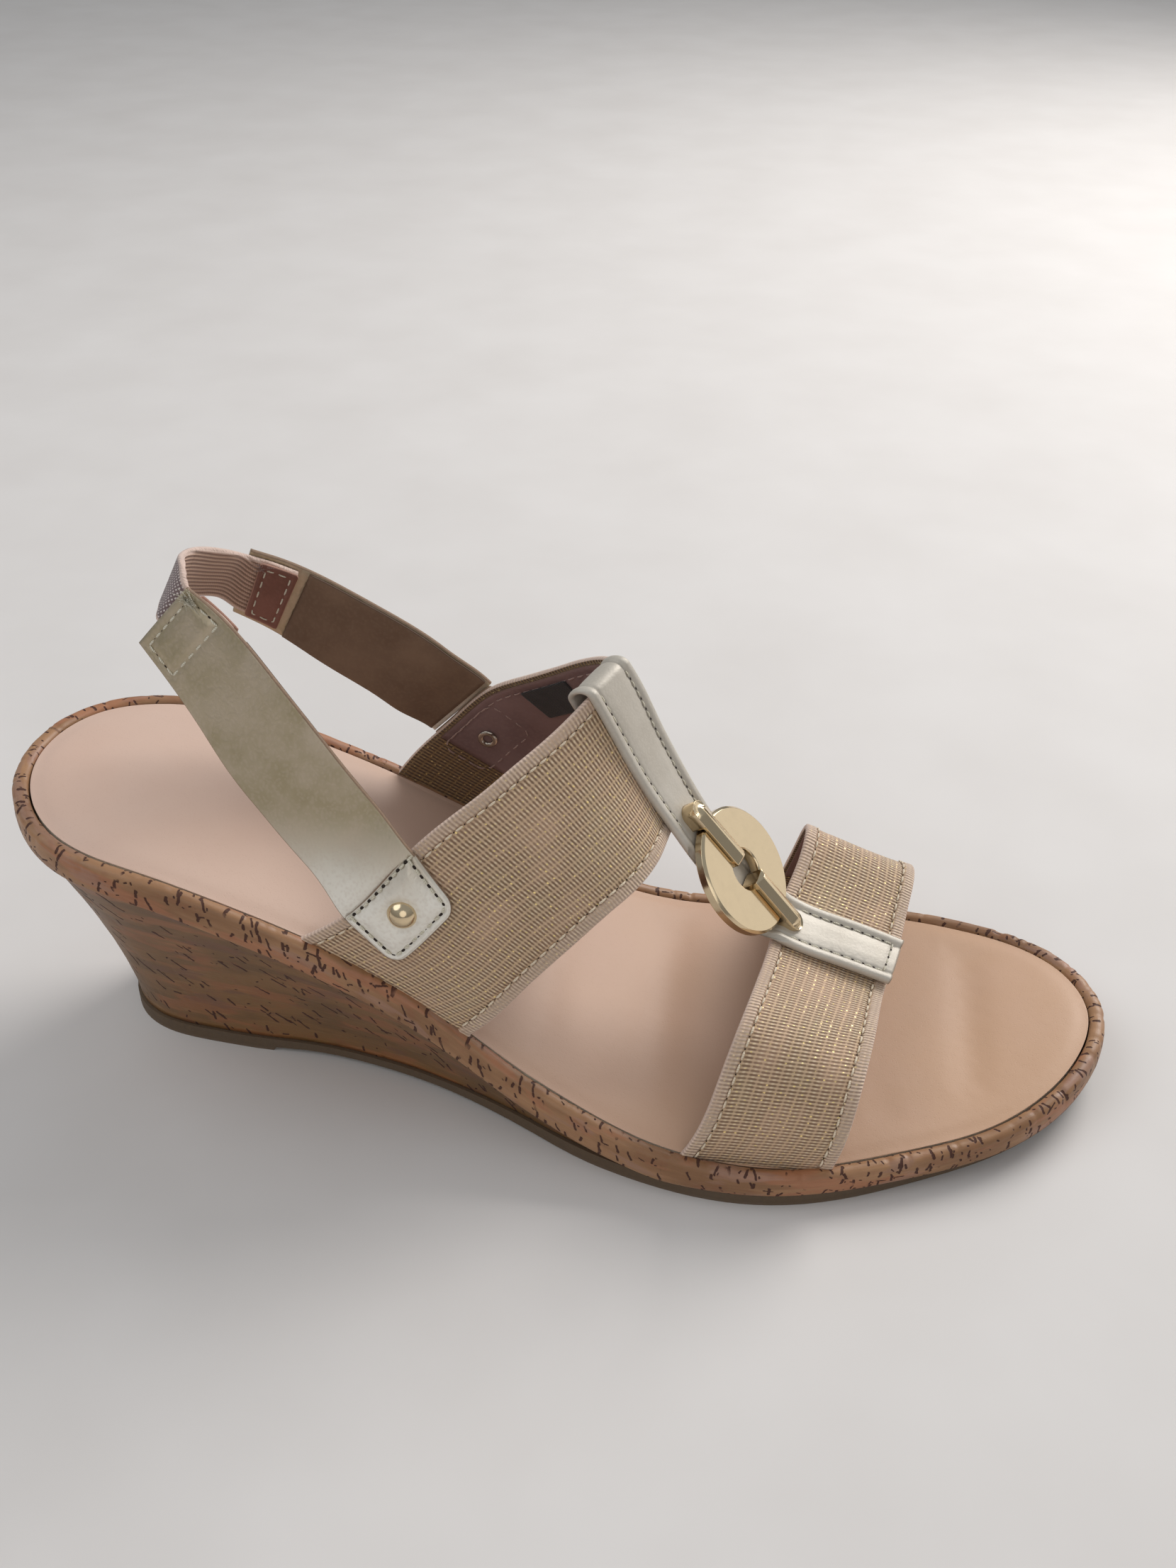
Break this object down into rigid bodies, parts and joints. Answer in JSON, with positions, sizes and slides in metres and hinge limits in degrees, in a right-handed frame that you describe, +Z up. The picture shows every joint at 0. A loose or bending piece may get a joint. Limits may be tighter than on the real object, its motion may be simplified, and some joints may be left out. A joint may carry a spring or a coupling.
{
  "type": "wedge sandal",
  "caption": "Right-foot wedge sandal: cork-wrapped wedge and rim, padded footbed, two elastic bands joined by a T strip with a ring ornament, and an elastic-backed heel sling.",
  "frame": {"origin": "centre of the heel pad where it meets the ground", "axes": "+X from heel to toe, +Y to the inner (medial) side of this right shoe, +Z up"},
  "size_m": [0.2484, 0.0953, 0.1249],
  "materials": {
    "outsole_rubber": "matt moulded rubber",
    "eva_core": "closed-cell EVA foam",
    "cork": "cork sheet with dark cracks",
    "shank_steel": "plain steel",
    "fibreboard": "pressed fibreboard",
    "foam": "soft latex foam",
    "sock_leather": "smooth nude leather",
    "gold_elastic": "ribbed elastic with gold lurex",
    "lining_leather": "thin lining leather",
    "silver_leather": "silver-champagne metallic leather",
    "olive_leather": "olive-champagne metallic grained leather",
    "sling_lining": "brown lining leather",
    "gold_metal": "polished pale gold plate",
    "pink_elastic": "dusty pink ribbed elastic",
    "label_fabric": "plain woven label"
  },
  "bodies": {
    "shoe": {"outsole": "outsole_rubber", "wedge_core": "eva_core", "wedge_cork_wrap": "cork", "platform_cork_rim": "cork", "bottom_filler": "eva_core", "shank": "shank_steel", "shank_rivets": "shank_steel", "heel_screw": "shank_steel", "heel_nails": "shank_steel", "insole_board": "fibreboard", "footbed_foam": "foam", "sock_lining": "sock_leather", "instep_band_elastic": "gold_elastic", "toe_band_elastic": "gold_elastic", "instep_band_lining": "lining_leather", "toe_band_lining": "lining_leather", "t_strip": "silver_leather", "t_strip_lining": "lining_leather", "ornament_bar_upper": "gold_metal", "ornament_bar_lower": "gold_metal", "ornament_backing_washers": "gold_metal", "sling_tab_lateral": "silver_leather", "sling_tab_medial": "silver_leather", "stud_lateral": "gold_metal", "stud_medial": "gold_metal", "stud_tubes": "gold_metal", "size_label": "label_fabric"},
    "sling": {"sling_strap_lateral": "olive_leather", "sling_strap_medial": "olive_leather", "sling_lining_lateral": "sling_lining", "sling_lining_medial": "sling_lining", "elastic_end_patches": "sling_lining"},
    "heel_loop": {"heel_elastic": "pink_elastic"},
    "ring": {"ornament_ring": "gold_metal"}
  },
  "joints": [
    {"name": "sling_swing", "type": "hinge", "parent": "shoe", "child": "sling", "pos_m": [0.0466, 0, 0.0737], "axis": [0, 1, 0], "range_deg": [-12, 18], "stiffness_Nm_per_rad": 0.15},
    {"name": "heel_elastic_stretch", "type": "slide", "parent": "sling", "child": "heel_loop", "axis": [-0.8, 0, 0.6], "range_m": [0, 0.012], "stiffness_N_per_m": 300, "deforming": ["heel_elastic"]},
    {"name": "ornament_ring_turn", "type": "hinge", "parent": "shoe", "child": "ring", "pos_m": [0.12514, -0.00083, 0.05177], "axis": [0.7523, -0.2278, 0.6182], "continuous": true}
  ]
}
